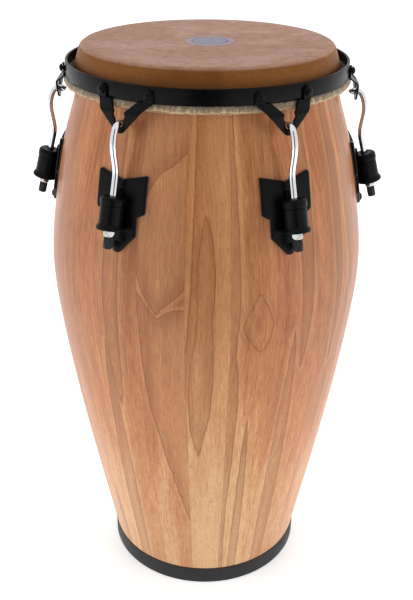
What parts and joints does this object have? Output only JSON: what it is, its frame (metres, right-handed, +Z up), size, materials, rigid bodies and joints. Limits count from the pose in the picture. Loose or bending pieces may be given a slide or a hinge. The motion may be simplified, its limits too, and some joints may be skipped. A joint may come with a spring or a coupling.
{
  "type": "conga drum",
  "caption": "Tall staved wooden barrel hand drum with a hide head, black steel rim, bracketed tuning hooks and a rubber foot ring.",
  "frame": {"origin": "middle of the foot ring's underside, on the floor", "axes": "+Z up the drum's axis; the front is towards -Y; lugs stand 30, 90 and 150 degrees to each side of the front"},
  "size_m": [0.4346, 0.3912, 0.7142],
  "materials": {
    "oiled_wood": "satin, light oiled oak",
    "hide": "natural rawhide, matt",
    "black_powder_coat": "black powder coat, semi-gloss",
    "black_rubber": "matt moulded rubber",
    "chrome": "bright chrome plate",
    "zinc_steel": "zinc plate"
  },
  "bodies": {
    "drum": {"stave_shell": "oiled_wood", "foot_ring": "black_rubber", "drum_head": "hide", "side_plate_1": "black_powder_coat", "side_plate_2": "black_powder_coat", "side_plate_3": "black_powder_coat", "side_plate_4": "black_powder_coat", "side_plate_5": "black_powder_coat", "side_plate_6": "black_powder_coat", "lug_casing_1": "black_powder_coat", "lug_casing_2": "black_powder_coat", "lug_casing_3": "black_powder_coat", "lug_casing_4": "black_powder_coat", "lug_casing_5": "black_powder_coat", "lug_casing_6": "black_powder_coat", "mounting_bolt_1": "black_powder_coat", "mounting_bolt_2": "black_powder_coat", "mounting_bolt_3": "black_powder_coat", "mounting_bolt_4": "black_powder_coat", "mounting_bolt_5": "black_powder_coat", "mounting_bolt_6": "black_powder_coat"},
    "tension_rim": {"rim": "black_powder_coat", "flesh_hoop": "zinc_steel", "head_tuck": "hide", "rim_bracket_1": "black_powder_coat", "rim_bracket_2": "black_powder_coat", "rim_bracket_3": "black_powder_coat", "rim_bracket_4": "black_powder_coat", "rim_bracket_5": "black_powder_coat", "rim_bracket_6": "black_powder_coat", "rivet_left_1": "black_powder_coat", "rivet_left_2": "black_powder_coat", "rivet_left_3": "black_powder_coat", "rivet_left_4": "black_powder_coat", "rivet_left_5": "black_powder_coat", "rivet_left_6": "black_powder_coat", "rivet_right_1": "black_powder_coat", "rivet_right_2": "black_powder_coat", "rivet_right_3": "black_powder_coat", "rivet_right_4": "black_powder_coat", "rivet_right_5": "black_powder_coat", "rivet_right_6": "black_powder_coat"},
    "tuning_hook_1": {"hook_1": "chrome", "end_cap_1": "black_rubber"},
    "nut_1": {"lug_nut_1": "chrome"},
    "tuning_hook_2": {"hook_2": "chrome", "end_cap_2": "black_rubber"},
    "nut_2": {"lug_nut_2": "chrome"},
    "tuning_hook_3": {"hook_3": "chrome", "end_cap_3": "black_rubber"},
    "nut_3": {"lug_nut_3": "chrome"},
    "tuning_hook_4": {"hook_4": "chrome", "end_cap_4": "black_rubber"},
    "nut_4": {"lug_nut_4": "chrome"},
    "tuning_hook_5": {"hook_5": "chrome", "end_cap_5": "black_rubber"},
    "nut_5": {"lug_nut_5": "chrome"},
    "tuning_hook_6": {"hook_6": "chrome", "end_cap_6": "black_rubber"},
    "nut_6": {"lug_nut_6": "chrome"}
  },
  "joints": [
    {"name": "rim_tension", "type": "slide", "parent": "drum", "child": "tension_rim", "axis": [0, 0, -1], "range_m": [0, 0.005]},
    {"name": "hook_slide_1", "type": "slide", "parent": "drum", "child": "tuning_hook_1", "axis": [0.1293, -0.224, -0.966], "range_m": [0, 0.0053]},
    {"name": "nut_turn_1", "type": "hinge", "parent": "drum", "child": "nut_1", "pos_m": [0.10186, -0.17642, 0.54195], "axis": [-0.1293, 0.224, 0.966], "range_deg": [0, 1510]},
    {"name": "hook_slide_2", "type": "slide", "parent": "drum", "child": "tuning_hook_2", "axis": [0.2587, 0, -0.966], "range_m": [0, 0.0053]},
    {"name": "nut_turn_2", "type": "hinge", "parent": "drum", "child": "nut_2", "pos_m": [0.20371, 0, 0.54195], "axis": [-0.2587, 0, 0.966], "range_deg": [0, 1510]},
    {"name": "hook_slide_3", "type": "slide", "parent": "drum", "child": "tuning_hook_3", "axis": [0.1293, 0.224, -0.966], "range_m": [0, 0.0053]},
    {"name": "nut_turn_3", "type": "hinge", "parent": "drum", "child": "nut_3", "pos_m": [0.10186, 0.17642, 0.54195], "axis": [-0.1293, -0.224, 0.966], "range_deg": [0, 1510]},
    {"name": "hook_slide_4", "type": "slide", "parent": "drum", "child": "tuning_hook_4", "axis": [-0.1293, 0.224, -0.966], "range_m": [0, 0.0053]},
    {"name": "nut_turn_4", "type": "hinge", "parent": "drum", "child": "nut_4", "pos_m": [-0.10186, 0.17642, 0.54195], "axis": [0.1293, -0.224, 0.966], "range_deg": [0, 1510]},
    {"name": "hook_slide_5", "type": "slide", "parent": "drum", "child": "tuning_hook_5", "axis": [-0.2587, 0, -0.966], "range_m": [0, 0.0053]},
    {"name": "nut_turn_5", "type": "hinge", "parent": "drum", "child": "nut_5", "pos_m": [-0.20371, 0, 0.54195], "axis": [0.2587, 0, 0.966], "range_deg": [0, 1510]},
    {"name": "hook_slide_6", "type": "slide", "parent": "drum", "child": "tuning_hook_6", "axis": [-0.1293, -0.224, -0.966], "range_m": [0, 0.0053]},
    {"name": "nut_turn_6", "type": "hinge", "parent": "drum", "child": "nut_6", "pos_m": [-0.10186, -0.17642, 0.54195], "axis": [0.1293, 0.224, 0.966], "range_deg": [0, 1510]}
  ],
  "couplings": [
    {"joint": "hook_slide_1", "follows": "rim_tension", "ratio": 1.0352},
    {"joint": "nut_turn_1", "follows": "rim_tension", "rad_per_m": 5203.5},
    {"joint": "hook_slide_2", "follows": "rim_tension", "ratio": 1.0352},
    {"joint": "nut_turn_2", "follows": "rim_tension", "rad_per_m": 5203.5},
    {"joint": "hook_slide_3", "follows": "rim_tension", "ratio": 1.0352},
    {"joint": "nut_turn_3", "follows": "rim_tension", "rad_per_m": 5203.5},
    {"joint": "hook_slide_4", "follows": "rim_tension", "ratio": 1.0352},
    {"joint": "nut_turn_4", "follows": "rim_tension", "rad_per_m": 5203.5},
    {"joint": "hook_slide_5", "follows": "rim_tension", "ratio": 1.0352},
    {"joint": "nut_turn_5", "follows": "rim_tension", "rad_per_m": 5203.5},
    {"joint": "hook_slide_6", "follows": "rim_tension", "ratio": 1.0352},
    {"joint": "nut_turn_6", "follows": "rim_tension", "rad_per_m": 5203.5}
  ]
}
